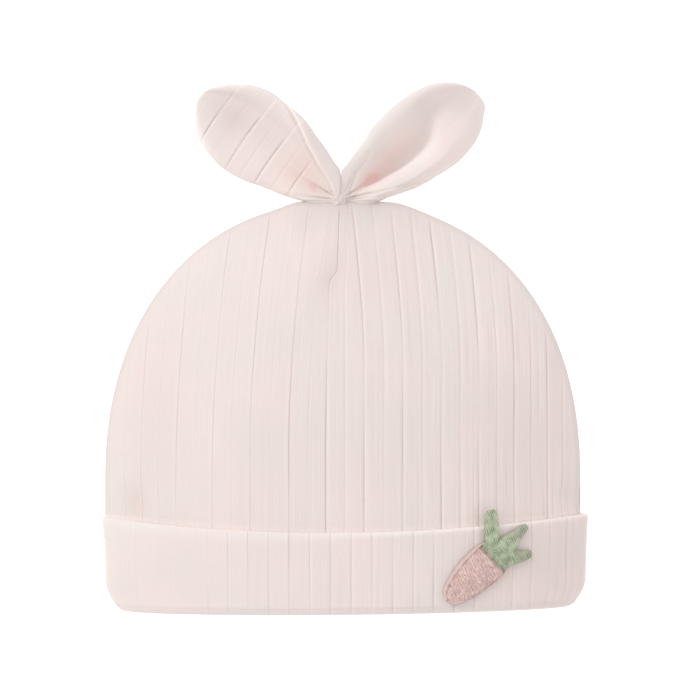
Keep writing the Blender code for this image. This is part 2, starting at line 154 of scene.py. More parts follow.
def backHeight(share, rise, floor):
    over = hat["seam"] - hat["belly"] * puff(share, rise) - floor
    soft = hat["pressSoft"]
    blend = (np.clip(over, -soft, soft) + soft) ** 2 / (4 * soft)
    return floor + np.where(over >= soft, over, blend)


def shoulder(across):
    # how far the dome's edge stands out beside the ears
    place, reach = (
        np.where(across > 0, shoulders["right"][key], shoulders["left"][key]) for key in ("place", "reach")
    )
    return shoulders["lift"] * bell((np.abs(across) - place) / reach)


def settled(across, height, up, aside=0.0):
    # where a point lies: the hem rises a little to the right
    fade = np.maximum(0.0, 1 - height / hat["top"])
    tilt = hat["skew"] * fade * across / hat["halfWidth"]
    full = shoulder(across) * ease((riseAt(height) - 0.85) / 0.12)
    return np.stack([across + aside, height + tilt + full - hat["rest"], up], axis=-1)


def acrossAt(share, height):
    # a rib's place at a height: it leans towards the middle under the ears
    moved = 0.0
    for name, way in (("left", -1), ("right", 1)):
        side = lean[name]
        climb = np.maximum(0.0, riseAt(height) - side["start"]) / (1 - side["start"])
        moved = moved - way * side["reach"] * ease(way * share / side["full"]) * climb ** side["curve"]
    moved = moved + lean["nudge"] * ease(-share / 0.2) * (1 - share**4)
    corner = 1 - halfWidthAt(np.minimum(height, hat["widest"])) / hat["halfWidth"]
    corner = 1 - corner * np.abs(share) ** 6
    inside = share * hat["halfWidth"] * corner + moved
    return np.where(np.abs(share) >= 1.0, share * halfWidthAt(height), inside)


def columnTop(share):
    # the height at which each rib meets the dome's seam
    low = np.full(share.shape, hat["widest"])
    high = np.full(share.shape, hat["top"])
    for _ in range(40):
        middle = (low + high) / 2
        within = np.abs(acrossAt(share, middle)) < halfWidthAt(middle)
        low = np.where(within, middle, low)
        high = np.where(within, high, middle)
    end = 1 - hat["sideEnd"] / hat["halfWidth"]
    side = (1 - end ** hat["domeRound"]) ** (1 / hat["domeRound"])
    sideTop = hat["widest"] + side * (hat["top"] - hat["widest"])
    return np.where(np.abs(share) >= 1.0, sideTop, low)


arcShares = 1 - (1 - np.linspace(0, 1, 1500)) ** 1.6
arcSteps = np.hypot(np.diff(arcShares) * hat["halfWidth"], np.diff(frontHeight(arcShares, 0)))
arcLengths = np.concatenate([[0.0], np.cumsum(arcSteps)])
arcReach = arcLengths[-1]


def shareAt(arc):
    return np.sign(arc) * np.interp(np.abs(arc), arcLengths, arcShares)


def ribColumns(look):
    # places round the panel, close together at each groove and at the side folds
    marks = look["firstGroove"] + look["ribPitch"] * np.arange(-40, 41)
    arcs = [marks + look["ribPitch"] / 2]
    for offset in look["besideGroove"]:
        arcs += [marks + offset, marks - offset]
    arcs = np.unique(np.round(np.concatenate(arcs), 6))
    arcs = arcs[np.abs(arcs) < arcReach - hat["sideRoom"]]
    edge = arcReach - np.array(hat["sideSteps"])
    arcs = np.concatenate([-edge, arcs, edge[::-1]])
    share = shareAt(arcs)
    share[0], share[-1] = -1.0, 1.0
    return arcs, share


def pastGroove(arc, look):
    # how far each place lies past its nearest groove, and that groove's number
    turns = (arc - look["firstGroove"]) / look["ribPitch"]
    return ((turns + 0.5) % 1.0 - 0.5) * look["ribPitch"], np.round(turns)


def turnsRound(sides):
    # the angles of a ring's points
    return 2 * math.pi * np.arange(sides)[None, :] / sides


# Meshes from grids of points
def gridFaces(rows, columns, start=0, wrap=False, ring=False, flip=False):
    # wrap joins the last column to the first one, and ring does so with the rows
    index = start + np.arange(rows * columns).reshape(rows, columns)
    if wrap:
        index = np.hstack([index, index[:, :1]])
    if ring:
        index = np.vstack([index, index[:1]])
    corners = [index[:-1, :-1], index[:-1, 1:], index[1:, 1:], index[1:, :-1]]
    faces = np.stack(corners, axis=-1).reshape(-1, 4)
    return (faces[:, ::-1] if flip else faces).tolist()


def gridNormals(points):
    normals = np.cross(np.gradient(points, axis=1), np.gradient(points, axis=0))
    size = np.linalg.norm(normals, axis=-1, keepdims=True)
    return normals / np.maximum(size, 1e-12)


def placed(name, data, location=(0.0, 0.0, 0.0)):
    thing = bpy.data.objects.new(name, data)
    thing.location = location
    bpy.context.scene.collection.objects.link(thing)
    return thing


def makePiece(name, points, faces, layers, finish, nodes, join=0.0):
    # one visible piece; layers holds up to three pairs of values for each point, kept as UV layers
    mesh = bpy.data.meshes.new(name)
    mesh.from_pydata(points.reshape(-1, 3).tolist(), [], faces)
    corner = np.empty(len(mesh.loops), np.int64)
    mesh.loops.foreach_get("vertex_index", corner)
    for title, pair in zip(("cloth", "marks", "tint"), layers):
        values = np.stack([np.ravel(side) for side in pair], axis=-1)[corner]
        mesh.uv_layers.new(name=title).data.foreach_set("uv", values.astype(np.float32).ravel())
    if join:
        work = bmesh.new()
        work.from_mesh(mesh)
        bmesh.ops.remove_doubles(work, verts=work.verts, dist=join)
        work.to_mesh(mesh)
        work.free()
    mesh.materials.append(finish)
    mesh.shade_smooth()
    piece = placed(name, mesh)
    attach(piece, "root")
    if nodes:
        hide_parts(*nodes)
    print("made", name, len(mesh.polygons), "faces")
    return piece


# Shader maths as plain expressions
class Wire:
    def __init__(self, finish, socket):
        self.finish = finish
        self.socket = socket

    def maths(self, operation, *values):
        return self.finish.add("ShaderNodeMath", {"operation": operation}, dict(enumerate(values)))

    def __add__(self, other):
        return self.maths("ADD", self, other)

    __radd__ = __add__

    def __sub__(self, other):
        return self.maths("SUBTRACT", self, other)

    def __rsub__(self, other):
        return self.maths("SUBTRACT", other, self)

    def __mul__(self, other):
        return self.maths("MULTIPLY", self, other)

    __rmul__ = __mul__

    def __truediv__(self, other):
        return self.maths("DIVIDE", self, other)

    def __pow__(self, other):
        return self.maths("POWER", self, other)

    def sine(self):
        return self.maths("SINE", self)

    def between(self):
        # held between 0 and 1
        return self.maths("MINIMUM", self.maths("MAXIMUM", self, 0.0), 1.0)


class Finish:
    def __init__(self, name):
        self.material = bpy.data.materials.new(name)
        self.material.use_nodes = True
        self.tree = self.material.node_tree
        self.shader = self.tree.nodes["Principled BSDF"]

    def add(self, kind, settings=None, values=None, out=0):
        node = self.tree.nodes.new(kind)
        for key, value in (settings or {}).items():
            setattr(node, key, value)
        self.feed(node.inputs, values or {})
        return Wire(self, node.outputs[out])

    def feed(self, sockets, values):
        for key, value in values.items():
            if isinstance(value, Wire):
                self.tree.links.new(value.socket, sockets[key])
            else:
                sockets[key].default_value = value

    def pair(self, layer):
        # the two values that a piece keeps for each point
        spot = self.add("ShaderNodeUVMap", {"uv_map": layer})
        parts = self.add("ShaderNodeSeparateXYZ", None, {0: spot})
        return parts, Wire(self, parts.socket.node.outputs[1])

    def mix(self, factor, first, second):
        return self.add("ShaderNodeMix", {"data_type": "RGBA"}, {0: factor, 6: first, 7: second}, 2)

    def coats(self, base, look, rows):
        # one paint of the look after another over the base, each with its amount
        for amount, title in rows:
            amount = amount.between() if isinstance(amount, Wire) else amount
            base = self.mix(amount, base, look[title])
        return base

    def noise(self, scale, detail=2.0, stretch=None):
        spot = self.add("ShaderNodeTexCoord", None, None, 3)
        if stretch:
            spot = self.add("ShaderNodeVectorMath", {"operation": "MULTIPLY"}, {0: spot, 1: stretch})
        return self.add("ShaderNodeTexNoise", None, {"Vector": spot, "Scale": scale, "Detail": detail})

    def bump(self, height, distance, strength=1.0):
        values = {"Height": height, "Distance": distance, "Strength": strength}
        return self.add("ShaderNodeBump", None, values)

    def plug(self, values):
        self.feed(self.shader.inputs, values)
        return self.material


def paint(red, green, blue):
    # an sRGB colour as Blender's linear one
    parts = [part / 255 for part in (red, green, blue)]
    parts = [p / 12.92 if p <= 0.04045 else ((p + 0.055) / 1.055) ** 2.4 for p in parts]
    return (*parts, 1.0)


clothLook = {
    "pale": paint(233, 220, 216),
    "warm": paint(238, 221, 217),
    "cool": paint(229, 221, 216),
    # the light colour is also a painted highlight, and pink, grey and the groove colour are also painted
    # shade
    "light": paint(252, 245, 242),
    "pink": paint(229, 176, 169),
    "grey": paint(198, 190, 188),
    "groove": paint(196, 170, 166),
    "grooveHalf": 0.00042,
    "grooveShade": 0.34,
    "wale": 0.00118,
    "streak": 0.17,
    "course": 0.00058,
    "waleShade": 0.05,
    "bumpDepth": 0.00007,
    "roughness": 0.92,
    "sheen": 0.25,
    "patchScale": 38.0,
    "cellScale": 150.0,
    "fuzzScale": 2600.0,
    "linesAcross": 1000.0,
    "linesAlong": 16.0,
}


def clothFinish(name, waleShade=1.0, turned=False):
    look = clothLook
    finish = Finish(name)
    across, along = finish.pair("cloth")
    distance, strength = finish.pair("marks")
    pink, shade = finish.pair("tint")
    if turned:
        across, along = along, across
    patches = finish.noise(look["patchScale"], 3.0)
    cells = finish.noise(look["cellScale"], 2.0, (1.0, 0.35, 1.0))
    fuzz = finish.noise(look["fuzzScale"], 2.0)
    # the cloth's fine lines show more on the side away from the light
    spot = finish.add("ShaderNodeTexCoord", None, None, 3)
    aside = finish.add("ShaderNodeSeparateXYZ", None, {0: spot})
    shown = (aside * 8.0 + 0.50).between() * 1.30 + 0.08
    # fine lines of uneven spacing that run along the cloth
    spot = {0: across * look["linesAcross"], 1: along * look["linesAlong"]}
    spot = finish.add("ShaderNodeCombineXYZ", None, spot)
    lines = finish.add("ShaderNodeTexNoise", None, {"Vector": spot, "Scale": 1.0, "Detail": 2.0})
    wales = (across * (2 * math.pi / look["wale"])).sine()
    courses = (along * (2 * math.pi / look["course"]) + wales * 1.2).sine()
    groove = ((1 - distance / look["grooveHalf"]).between() ** 1.3) * strength
    clear = ((cells - 0.40) * 4.0).between() * (look["waleShade"] * waleShade)
    streak = shown * ((cells - 0.34) * 4.0).between() * (look["streak"] * waleShade)
    base = finish.mix(((patches - 0.36) * 3.4).between(), look["cool"], look["warm"])
    # over the cloth's own colours and fine lines come painted shade (the tint layer's pink and grey, and
    # the groove colour down each groove) and painted highlights (the light colour where the tint layer's
    # shade is below zero)
    base = finish.coats(base, look, (
        (0.4, "pale"),
        ((wales * 0.5 + 0.5) * clear, "grey"),
        (((lines - 0.52) * 5.0).between() * streak, "groove"),
        (((0.47 - lines) * 5.0).between() * streak * 1.7, "light"),
        (pink, "pink"),
        (shade, "grey"),
        (shade * -1.0, "light"),
        (groove * look["grooveShade"], "groove"),
    ))
    height = wales * 0.3 + lines * (shown * 0.9 + 0.3) + courses * 0.15 + fuzz * 0.9
    return finish.plug({
        "Base Color": base,
        "Roughness": (fuzz * 0.12 + (look["roughness"] - 0.06)).between(),
        "Normal": finish.bump(height, look["bumpDepth"], 0.8),
        "Sheen Weight": look["sheen"],
        "Sheen Roughness": 0.5,
        "Sheen Tint": (1.0, 0.95, 0.93, 1.0),
        "Specular IOR Level": 0.2,
    })


ribCloth = clothFinish("ribCloth")
earRibCloth = clothFinish("earRibCloth", 0.6, turned=True)
plainCloth = clothFinish("plainCloth", 0.25)

# The crown: two ribbed panels joined along the dome's seam and open at the hem
crown = {
    "ribPitch": 0.00705,
    "firstGroove": 0.0003,
    "grooveDepth": 0.00040,
    "grooveHalf": 0.00024,
    "ribPillow": 0.00010,
    "seamDepth": 0.00013,
    "seamPlace": 0.0011,
    "seamHalf": 0.0004,
    "lightPlace": 0.00060,
    "lightHalf": 0.00034,
    "lightLine": 0.34,
    "lightTurn": -0.012,
    "weakRib": 0.42,
    "wobble": 0.00050,
    "waveSize": 0.045,
    "edgeReach": 0.020,
    "edgeShade": 0.34,
    "bandLight": 0.60,
    "besideGroove": (0, 0.0002, 0.00045, 0.0009, 0.0019),
    "rowsInBand": 4,
    "rowsAbove": 112,
    "rowCrowding": 1.35,
    "liningStep": 4,
    "jogHeight": 0.1205,
    "jogPlace": -0.0050,
    "jogReach": 0.0042,
    "jogShift": 0.0027,
}
# Dents and folds of the front: across, height, reach across, reach up, depth, all in metres
crownDents = (
    (-0.0048, 0.1200, 0.0048, 0.0105, 0.0015),
    (-0.0114, 0.1393, 0.0039, 0.0090, 0.0009),
    (0.0096, 0.1393, 0.0039, 0.0090, 0.0009),
    (-0.0756, 0.0390, 0.0046, 0.0066, 0.0010),
    (0.0814, 0.0404, 0.0044, 0.0060, 0.0015),
)
# Painted shade: places painted pinker or greyer for the shade in the cloth's dents and folds, under the
# ears and over its right side: across, height, two reaches, pink, shade
crownTints = (
    (-0.0756, 0.0395, 0.0040, 0.0066, 0.16, 0.03),
    (-0.0050, 0.1240, 0.0045, 0.0120, 0.08, 0.12),
    (0.0060, 0.1480, 0.0300, 0.0090, 0.03, 0.22),
    (0.0120, 0.1260, 0.0200, 0.0180, 0.02, 0.16),
    (0.0780, 0.0620, 0.0160, 0.0450, 0.03, 0.14),
    (0.0560, 0.0600, 0.0200, 0.0350, 0.03, 0.10),
    (-0.0700, 0.0700, 0.0130, 0.0400, 0.05, 0.10),
    (-0.0380, 0.0800, 0.0200, 0.0500, -0.03, 0.05),
    (0.0050, 0.0800, 0.0400, 0.0600, 0.00, 0.06),
)


def spread(spots, across, height, column):
    # the sum of soft spots, each with its places, its reaches and what it adds in this column
    total = 0.0
    for spot in spots:
        near = bell((across - spot[0]) / spot[2])
        total = total + spot[column] * near * bell((height - spot[1]) / spot[3])
    return total


def bandEdge(share, front):
    return band["height"] - band["sag"] * (1 - share**2) * front


def lightBeside(past, arcs):
    # a painted highlight beside each groove: on its left in the left half, on its right from there on
    past = past * np.where(arcs > crown["lightTurn"], 1.0, -1.0)
    return bell((past - crown["lightPlace"]) / crown["lightHalf"])


def crownPanel(arcs, share, front):
    # points and marks of one panel's outer side, a row for each height
    top = columnTop(share)
    edge = bandEdge(share, front)
    low = np.linspace(0, 1, crown["rowsInBand"], endpoint=False)[:, None]
    high = 1 - (1 - np.linspace(0, 1, crown["rowsAbove"])[:, None]) ** crown["rowCrowding"]
    inBand = band["turnIn"] + (edge - band["turnIn"]) * low
    height = np.vstack([inBand, edge + (top - edge) * high])
    across = acrossAt(np.broadcast_to(share, height.shape), height)
    reachOut = across / halfWidthAt(np.minimum(height, hat["widest"]))
    rise = riseAt(height)
    rim = np.abs(across) >= halfWidthAt(height) - 1e-7
    rim[-1] = True
    if front:
        jog = crown["jogShift"] * ease((height - crown["jogHeight"]) / 0.005)
        jog = jog * bell((across - crown["jogPlace"]) / crown["jogReach"]) * ~rim
        up = frontHeight(reachOut, rise)
    else:
        jog = 0.0
        under = hat["gap"] + band["wall"]
        floor = under * (1 - ease((height - edge) / (2 * band["tuck"])))
        up = backHeight(reachOut, rise, floor)
    up = np.where(rim, hat["seam"], up)
    fullness = puff(reachOut, rise)
    points = settled(across + jog, height, up, hat["offMiddle"] * np.abs(reachOut) ** 6)
    normals = gridNormals(points)
    normals = normals if front else -normals
    past, ribNumber = pastGroove(arcs, crown)
    distance = np.broadcast_to(np.abs(past), height.shape)
    drift = waves(ribNumber * 0.7, height, 0.05, 3)
    # every other groove is weak, less so on the right, and all fade to the left
    rightward = ease((across - 0.014) / 0.030)
    strong = np.where(ribNumber % 2 == 1, 1.0, crown["weakRib"] + 0.25 * rightward)
    fade = strong * ease(fullness * 6) * np.clip(0.80 + 0.45 * drift, 0.05, 1.15)
    fade = fade * (1 - 0.60 * ease((-across - 0.012) / 0.04) * (0.6 + 0.4 * rise))
    relief = -crown["grooveDepth"] * bell(distance / crown["grooveHalf"]) * fade
    relief = relief - crown["ribPillow"] * np.cos(distance / crown["ribPitch"] * math.pi) ** 2 * fade
    toEdge = np.minimum(1.0, fullness) * crown["edgeReach"]
    onSeam = bell((toEdge - crown["seamPlace"]) / crown["seamHalf"]) * ease(across / 0.06)
    relief = relief - crown["seamDepth"] * onSeam
    wobble = waves(across, height, crown["waveSize"], 8 if front else 9)
    relief = relief + crown["wobble"] * wobble * ease(fullness * 3)
    relief = relief * ease(toEdge / 0.0007) * ~rim
    if front:
        relief = relief - spread(crownDents, across, height, 4)
    else:
        relief = relief * ease((up - floor) / hat["seam"] * 3)
    points = points + normals * relief[..., None]
    points[..., 2] = np.maximum(points[..., 2], 0.0)
    # painted shade from the soft spots and along the seam's dip, and a painted highlight beside each groove
    pink, shade = (spread(crownTints, across, height, column) * front for column in (4, 5))
    shade = shade + 0.10 * onSeam - crown["lightLine"] * lightBeside(past, arcs) * fade
    # painted shade towards the dome's edge, and a painted highlight just over the band's edge
    shade = shade + 0.10 * bell(toEdge / 0.0045) + crown["edgeShade"] * bell(toEdge / 0.0007)
    shade = shade - crown["bandLight"] * bell((height - edge) / 0.0012) * front
    return points, ((np.broadcast_to(arcs, height.shape), height), (distance, fade), (pink, shade))


def buildCrown():
    arcs, share = ribColumns(crown)
    step = crown["liningStep"]
    allPoints, allFaces, allLayers, count = [], [], ([], [], []), 0
    for front in (True, False):
        way = 1 if front else -1
        points, layers = crownPanel(arcs, share, front)
        rows, columns = points.shape[:2]
        rowPick = np.unique(np.append(np.arange(0, rows, step), rows - 1))
        columnPick = np.unique(np.append(np.arange(0, columns, step), columns - 1))
        picked = np.ix_(rowPick, columnPick)
        # the lining stays on its own side of the dome's seam
        inner = points - hat["wall"] * way * gridNormals(points)
        inner[..., 2] = way * np.maximum(way * inner[..., 2], way * hat["seam"] + 0.00002)
        lining = inner[picked]
        outerStart, liningStart = count, count + rows * columns
        count = liningStart + rowPick.size * columnPick.size
        allPoints += [points.reshape(-1, 3), lining.reshape(-1, 3)]
        allFaces += gridFaces(rows, columns, outerStart, flip=not front)
        allFaces += gridFaces(*lining.shape[:2], liningStart, flip=front)
        for parts, pair in zip(allLayers, layers):
            parts.append(np.array([np.append(side, side[picked]) for side in pair]))
        # the raw edge in the band's fold
        ends = columnPick.tolist()
        for place, (near, far) in enumerate(zip(ends, ends[1:])):
            strip = [outerStart + column for column in range(near, far + 1)]
            strip += [liningStart + place + 1, liningStart + place]
            allFaces.append(strip[::-1] if front else strip)
    layers = [np.concatenate(parts, axis=1) for parts in allLayers]
    points = np.concatenate(allPoints)
    makePiece("crownCloth", points, allFaces, layers, ribCloth, ["crown"], 0.000004)


buildCrown()

# The band: the cloth folded up at the hem, with a short leg inside
bandLook = {
    "ribPitch": 0.00740,
    "firstGroove": 0.00272,
    "lightLine": 0.42,
    "edgeLight": 0.46,
    "hemShade": 0.16,
    "weakRib": 0.60,
    "grooveDepth": 0.00046,
    "grooveHalf": 0.00026,
    "wobble": 0.00030,
    "waveSize": 0.036,
    "besideGroove": (0, 0.0002, 0.00045, 0.0010, 0.0020),
    "rimRadius": 0.0011,
    "rimSteps": 8,
    "foldSteps": 12,
    "legSteps": 26,
}
# Painted shade on the band's front, pinker and greyer, and a painted highlight where the shade is below
# zero: across, height, two reaches, pink, shade
bandTints = (
    (0.0830, 0.0180, 0.0160, 0.0260, 0.10, 0.30),
    (0.0600, 0.0220, 0.0140, 0.0200, 0.08, 0.12),
    (-0.0700, 0.0120, 0.0200, 0.0100, 0.06, 0.02),
    (-0.0050, 0.0180, 0.0300, 0.0180, 0.06, -0.06),
    (0.0400, 0.0030, 0.0300, 0.0040, 0.02, 0.06),
)


def bandProfile():
    # rows of (offset from the crown, height above the hem, share of the free edge's height)
    outside = hat["gap"] + band["wall"]
    inside = -hat["wall"]
    middle, radius = (outside + inside) / 2, (outside - inside) / 2
    rim = bandLook["rimRadius"]
    legTop = band["turnIn"] - hat["gap"]
    rows = []
    for step in range(bandLook["foldSteps"] + 1):
        turn = math.pi * step / bandLook["foldSteps"]
        rows.append((middle + radius * math.cos(turn), radius * (1 - math.sin(turn)), 0.0))
    for step in range(1, 5):
        rows.append((inside, radius + (legTop - radius) * step / 4, 0.0))
    rows += [(0.0, legTop, 0.0), (0.0, (legTop + radius) / 2, 0.0), (0.0, radius, 0.0)]
    rows.append((hat["gap"], radius, 0.0))
    for step in range(1, 6):
        share = step / 6
        rows.append((hat["gap"], radius * (1 - share) - rim * share, share))
    for step in range(bandLook["rimSteps"] + 1):
        turn = math.pi * step / bandLook["rimSteps"]
        rows.append((outside - rim - rim * math.cos(turn), rim * math.sin(turn) - rim, 1.0))
    for step in range(1, bandLook["legSteps"]):
        share = 1 - step / bandLook["legSteps"]
        rows.append((outside, radius * (1 - share) - rim * share, share))
    return rows


def buildBand():
    arcs, share = ribColumns(bandLook)
    # over the front from left to right, then back under it
    loopShare = np.concatenate([share, share[-2:0:-1]])
    loopArc = np.concatenate([arcs, arcs[-2:0:-1]])
    isFront = np.arange(len(loopShare)) < len(share)
    edge = bandEdge(loopShare, isFront)
    profile = np.array(bandProfile())
    offset = np.broadcast_to(profile[:, :1], (len(profile), len(edge))).copy()
    height = profile[:, 1:2] + profile[:, 2:3] * edge
    shares = np.broadcast_to(loopShare, height.shape)
    inset = 1 - halfWidthAt(height) / hat["halfWidth"]
    across = shares * hat["halfWidth"] * (1 - inset * np.abs(shares) ** 6)
    under = hat["gap"] + band["wall"]
    up = np.where(isFront, frontHeight(shares, 0), backHeight(shares, 0, under))
    spot = np.stack([across, up], axis=-1)
    along = np.roll(spot, -1, axis=1) - np.roll(spot, 1, axis=1)
    along = along / np.maximum(np.linalg.norm(along, axis=-1, keepdims=True), 1e-12)
    outward = np.stack([-along[..., 1], along[..., 0]], axis=-1)
    lifted = ease(up / hat["seam"])
    past, ribNumber = pastGroove(loopArc, bandLook)
    distance = np.broadcast_to(np.abs(past), height.shape)
    outer = offset > hat["gap"] + 1e-4
    away = ease(1 - (np.abs(loopShare) - 0.90) / 0.10)
    strong = np.where(ribNumber % 2 == 1, 1.0, bandLook["weakRib"])
    fade = away * lifted * strong * np.clip(0.75 + 0.50 * waves(ribNumber * 0.9, height, 0.04, 5), 0.0, 1.1)
    # the grooves are weaker at the left end, and a little at the right one
    fade = fade * (1 - 0.70 * ease((-across - 0.036) / 0.020)) * (1 - 0.35 * ease((across - 0.045) / 0.02))
    offset = offset - bandLook["grooveDepth"] * bell(distance / bandLook["grooveHalf"]) * fade * outer
    flare = band["flare"] * (1 - shares**6)
    offset = offset + flare * lifted * (height / band["height"]) ** 2 * outer
    # the left end of the folded edge curls out
    curl = ease((-shares - 0.86) / 0.14) * np.clip(height / band["height"], 0, 1) ** 5
    offset = offset + band["curl"] * curl * outer
    wobble = waves(across, height * 0.6, bandLook["waveSize"], 12) * bandLook["wobble"]
    offset = offset + wobble * lifted * ease((height - 0.002) / 0.01) * (profile[:, 2:3] > 0)
    spot = spot + outward * offset[..., None]
    aside = band["offMiddle"] * np.abs(shares) ** 6
    points = settled(spot[..., 0], height, np.maximum(spot[..., 1], 0.0), aside)
    run = np.concatenate([[0.0], np.cumsum(np.hypot(*np.diff(profile[:, :2], axis=0).T))])
    down = np.broadcast_to((run + profile[:, 2] * band["height"])[:, None], height.shape)
    # painted shade from the soft spots
    pink, shade = (spread(bandTints, across, height, column) * isFront for column in (4, 5))
    # painted shade at the hem's fold
    shade = shade + bandLook["hemShade"] * bell((height - 0.0006) / 0.0012)
    # a painted highlight beside each groove
    shade = shade - bandLook["lightLine"] * (lightBeside(past, loopArc) * fade * outer)
    # the folded edge catches the light: softly at the left end, as a thin line at the right one
    leftward = ease(0.5 - 1.4 * shares)
    wide = 0.0008 + 0.0014 * leftward
    light = bandLook["edgeLight"] - 0.26 * leftward
    shade = shade - light * outer * bell((edge - 0.6 * wide - height) / wide)
    layers = ((np.broadcast_to(loopArc, height.shape), down), (distance, fade * outer), (pink, shade))
    faces = gridFaces(*height.shape, wrap=True, ring=True)
    makePiece("bandCloth", points, faces, layers, ribCloth, ["cuff"])


buildBand()

# The ears: each a sewn and turned leaf of cloth, folded along its length and held at one point
ear = {
    "halfWidth": 0.0165,
    "wall": 0.0020,
    "meet": -0.0011,
    "press": 0.0014,
    "overlap": 0.0005,
    "foldHeight": 0.0044,
    "rootSlant": 0.90,
    "slantReach": 0.30,
    "rootReach": 0.16,
    "ribPitch": 0.0064,
    "firstGroove": 0.0061,
    "grooveDepth": 0.00050,
    "grooveHalf": 0.00026,
    "grooveShade": 0.34,
    "shadeHalf": 0.00028,
    "lightLine": 0.40,
    "lightPlace": -0.00062,
    "lightHalf": 0.00036,
    "ribTilt": 0.10,
    "ribBend": 4.0,
    "jogShift": 0.0006,
    "jogPlace": 0.0373,
    "jogReach": 0.006,
    "weakRib": 0.30,
    "lipLift": 0.0011,
    "lipDip": 0.0007,
    "valleyDepth": 0.0008,
    "creaseDepth": 0.0004,
    "wobble": 0.00025,
    "rootSlip": 0.0013,
    "tackAcross": -0.0014,
    "tackHeight": 0.1507,
    "stations": 236,
    "places": 96,
}
earOutline = {
    "ear_left": (
        (0.00, 0.31, 0.33), (0.10, 0.42, 0.68), (0.15, 0.475, 0.77), (0.20, 0.52, 0.86),
        (0.27, 0.56, 0.975), (0.35, 0.645, 1.07), (0.45, 0.79, 1.13), (0.60, 0.90, 1.12),
        (0.70, 0.88, 1.09), (0.80, 0.805, 0.94), (0.86, 0.70, 0.775), (0.91, 0.565, 0.61),
        (0.96, 0.36, 0.40), (0.985, 0.225, 0.27), (1.00, 0.08, 0.14),
    ),
    "ear_right": (
        (0.00, 0.26, 0.29), (0.10, 0.37, 0.67), (0.15, 0.45, 0.79), (0.20, 0.50, 0.85),
        (0.27, 0.57, 0.94), (0.35, 0.64, 1.04), (0.45, 0.72, 1.07), (0.60, 0.82, 1.06),
        (0.70, 0.81, 1.01), (0.80, 0.74, 0.90), (0.87, 0.63, 0.76), (0.92, 0.50, 0.61),
        (0.965, 0.38, 0.41), (0.99, 0.28, 0.22), (1.00, 0.14, 0.08),
    ),
}
# Height across each ear, from the outer edge to the inner one, as a share of the fold height
earSection = {
    "ear_left": (
        (-1.00, 0.05), (-0.80, 0.42), (-0.35, 0.40), (0.20, 0.22),
        (0.50, 0.20), (0.72, 0.85), (0.88, 1.00), (1.00, 0.55),
    ),
    "ear_right": (
        (-1.00, 0.10), (-0.86, 0.46), (-0.55, 0.80), (-0.25, 0.46),
        (0.10, 0.02), (0.50, 0.24), (0.82, 0.75), (1.00, 0.90),
    ),
}
# Along each ear: share of the length, share of the fold height, lift as a share of the seam's height
earFolds = {
    "ear_left": (
        (0.00, 0.68, 0.75), (0.08, 0.68, 0.75), (0.22, 0.91, 0.42),
        (0.50, 1.00, 0.12), (0.80, 0.82, 0.03), (1.00, 0.36, 0.05),
    ),
    "ear_right": (
        (0.00, 0.95, 0.70), (0.08, 0.95, 0.70), (0.22, 1.55, 0.28),
        (0.50, 1.50, 0.05), (0.80, 1.00, 0.03), (1.00, 0.50, 0.05),
    ),
}
earWays = {
    "ear_left": {"angle": math.radians(139.1), "side": -1, "root": 0.0154, "length": 0.0600},
    "ear_right": {"angle": math.radians(43.2), "side": 1, "root": 0.0134, "length": 0.0587},
}
# The left ear's lip, the right one's valley and its crease: share of the length, place across
lipLine = (
    (0.00, 0.66), (0.05, 0.64), (0.155, 0.58), (0.333, 0.73), (0.45, 0.85), (0.57, 0.955), (1.00, 0.97),
)
valleyLine = (
    (0.00, 0.44), (0.10, 0.36), (0.15, 0.14), (0.25, 0.01), (0.35, -0.11),
    (0.50, -0.12), (0.59, -0.02), (0.71, 0.25), (1.00, 0.35),
)
creaseLine = ((0.00, 0.60), (0.16, 0.67), (0.23, 0.69), (0.36, 0.85), (1.00, 0.97))
# Painted shade on the ears, pink in the creases and in the right ear's pocket, grey over the hollows and
# towards the tips: share of the length, place across, two reaches, pink, shade
earTints = {
    "ear_left": (
        (0.22, 0.15, 0.13, 0.55, 0.30, 0.00),
        (0.130, 0.14, 0.026, 0.10, 0.40, 0.04),
        (0.55, 0.30, 0.16, 0.35, 0.07, 0.10),
        (0.74, 0.10, 0.07, 0.40, 0.05, 0.22),
        (0.86, 0.20, 0.14, 0.60, 0.02, 0.30),
    ),
    "ear_right": (
        (0.160, 0.24, 0.050, 0.18, 1.10, 0.00),
        (0.27, 0.17, 0.13, 0.30, 0.50, 0.05),
        (0.46, 0.16, 0.16, 0.30, 0.26, 0.13),
        (0.72, 0.35, 0.14, 0.40, 0.03, 0.22),
        (0.92, 0.10, 0.12, 0.60, 0.02, 0.40),
    ),
}
# Folds that fan out from the tack, each with painted pink and grey shade along it and, where the shade is
# below zero, a painted highlight on its ridge: angle in degrees, depth, width in degrees, reach, pink,
# shade
earFans = {
    "ear_left": (
        (149.0, 0.0013, 3.4, 0.0125, 0.34, 0.52),
        (136.0, 0.0005, 3.0, 0.0090, 0.10, 0.10),
        (125.0, -0.0006, 4.0, 0.0140, 0.00, -0.12),
        (174.5, 0.0007, 2.0, 0.0190, 0.04, 0.30),
        (169.0, -0.0004, 2.0, 0.0160, 0.00, -0.12),
        (161.0, 0.0004, 3.0, 0.0100, 0.06, 0.06),
        (112.0, 0.0004, 3.0, 0.0120, 0.00, 0.12),
    ),
    "ear_right": (
        (61.0, 0.0005, 2.2, 0.0110, 0.00, 0.20),
        (32.0, 0.0014, 3.4, 0.0090, 0.30, 0.40),
        (20.0, -0.0005, 3.0, 0.0220, 0.00, -0.16),
        (12.5, 0.0009, 1.8, 0.0290, 0.04, 0.52),
        (8.0, -0.0004, 1.8, 0.0200, 0.00, -0.20),
        (3.5, 0.0005, 1.8, 0.0150, 0.03, 0.26),
        (74.0, 0.0004, 3.0, 0.0080, 0.00, 0.12),
    ),
}


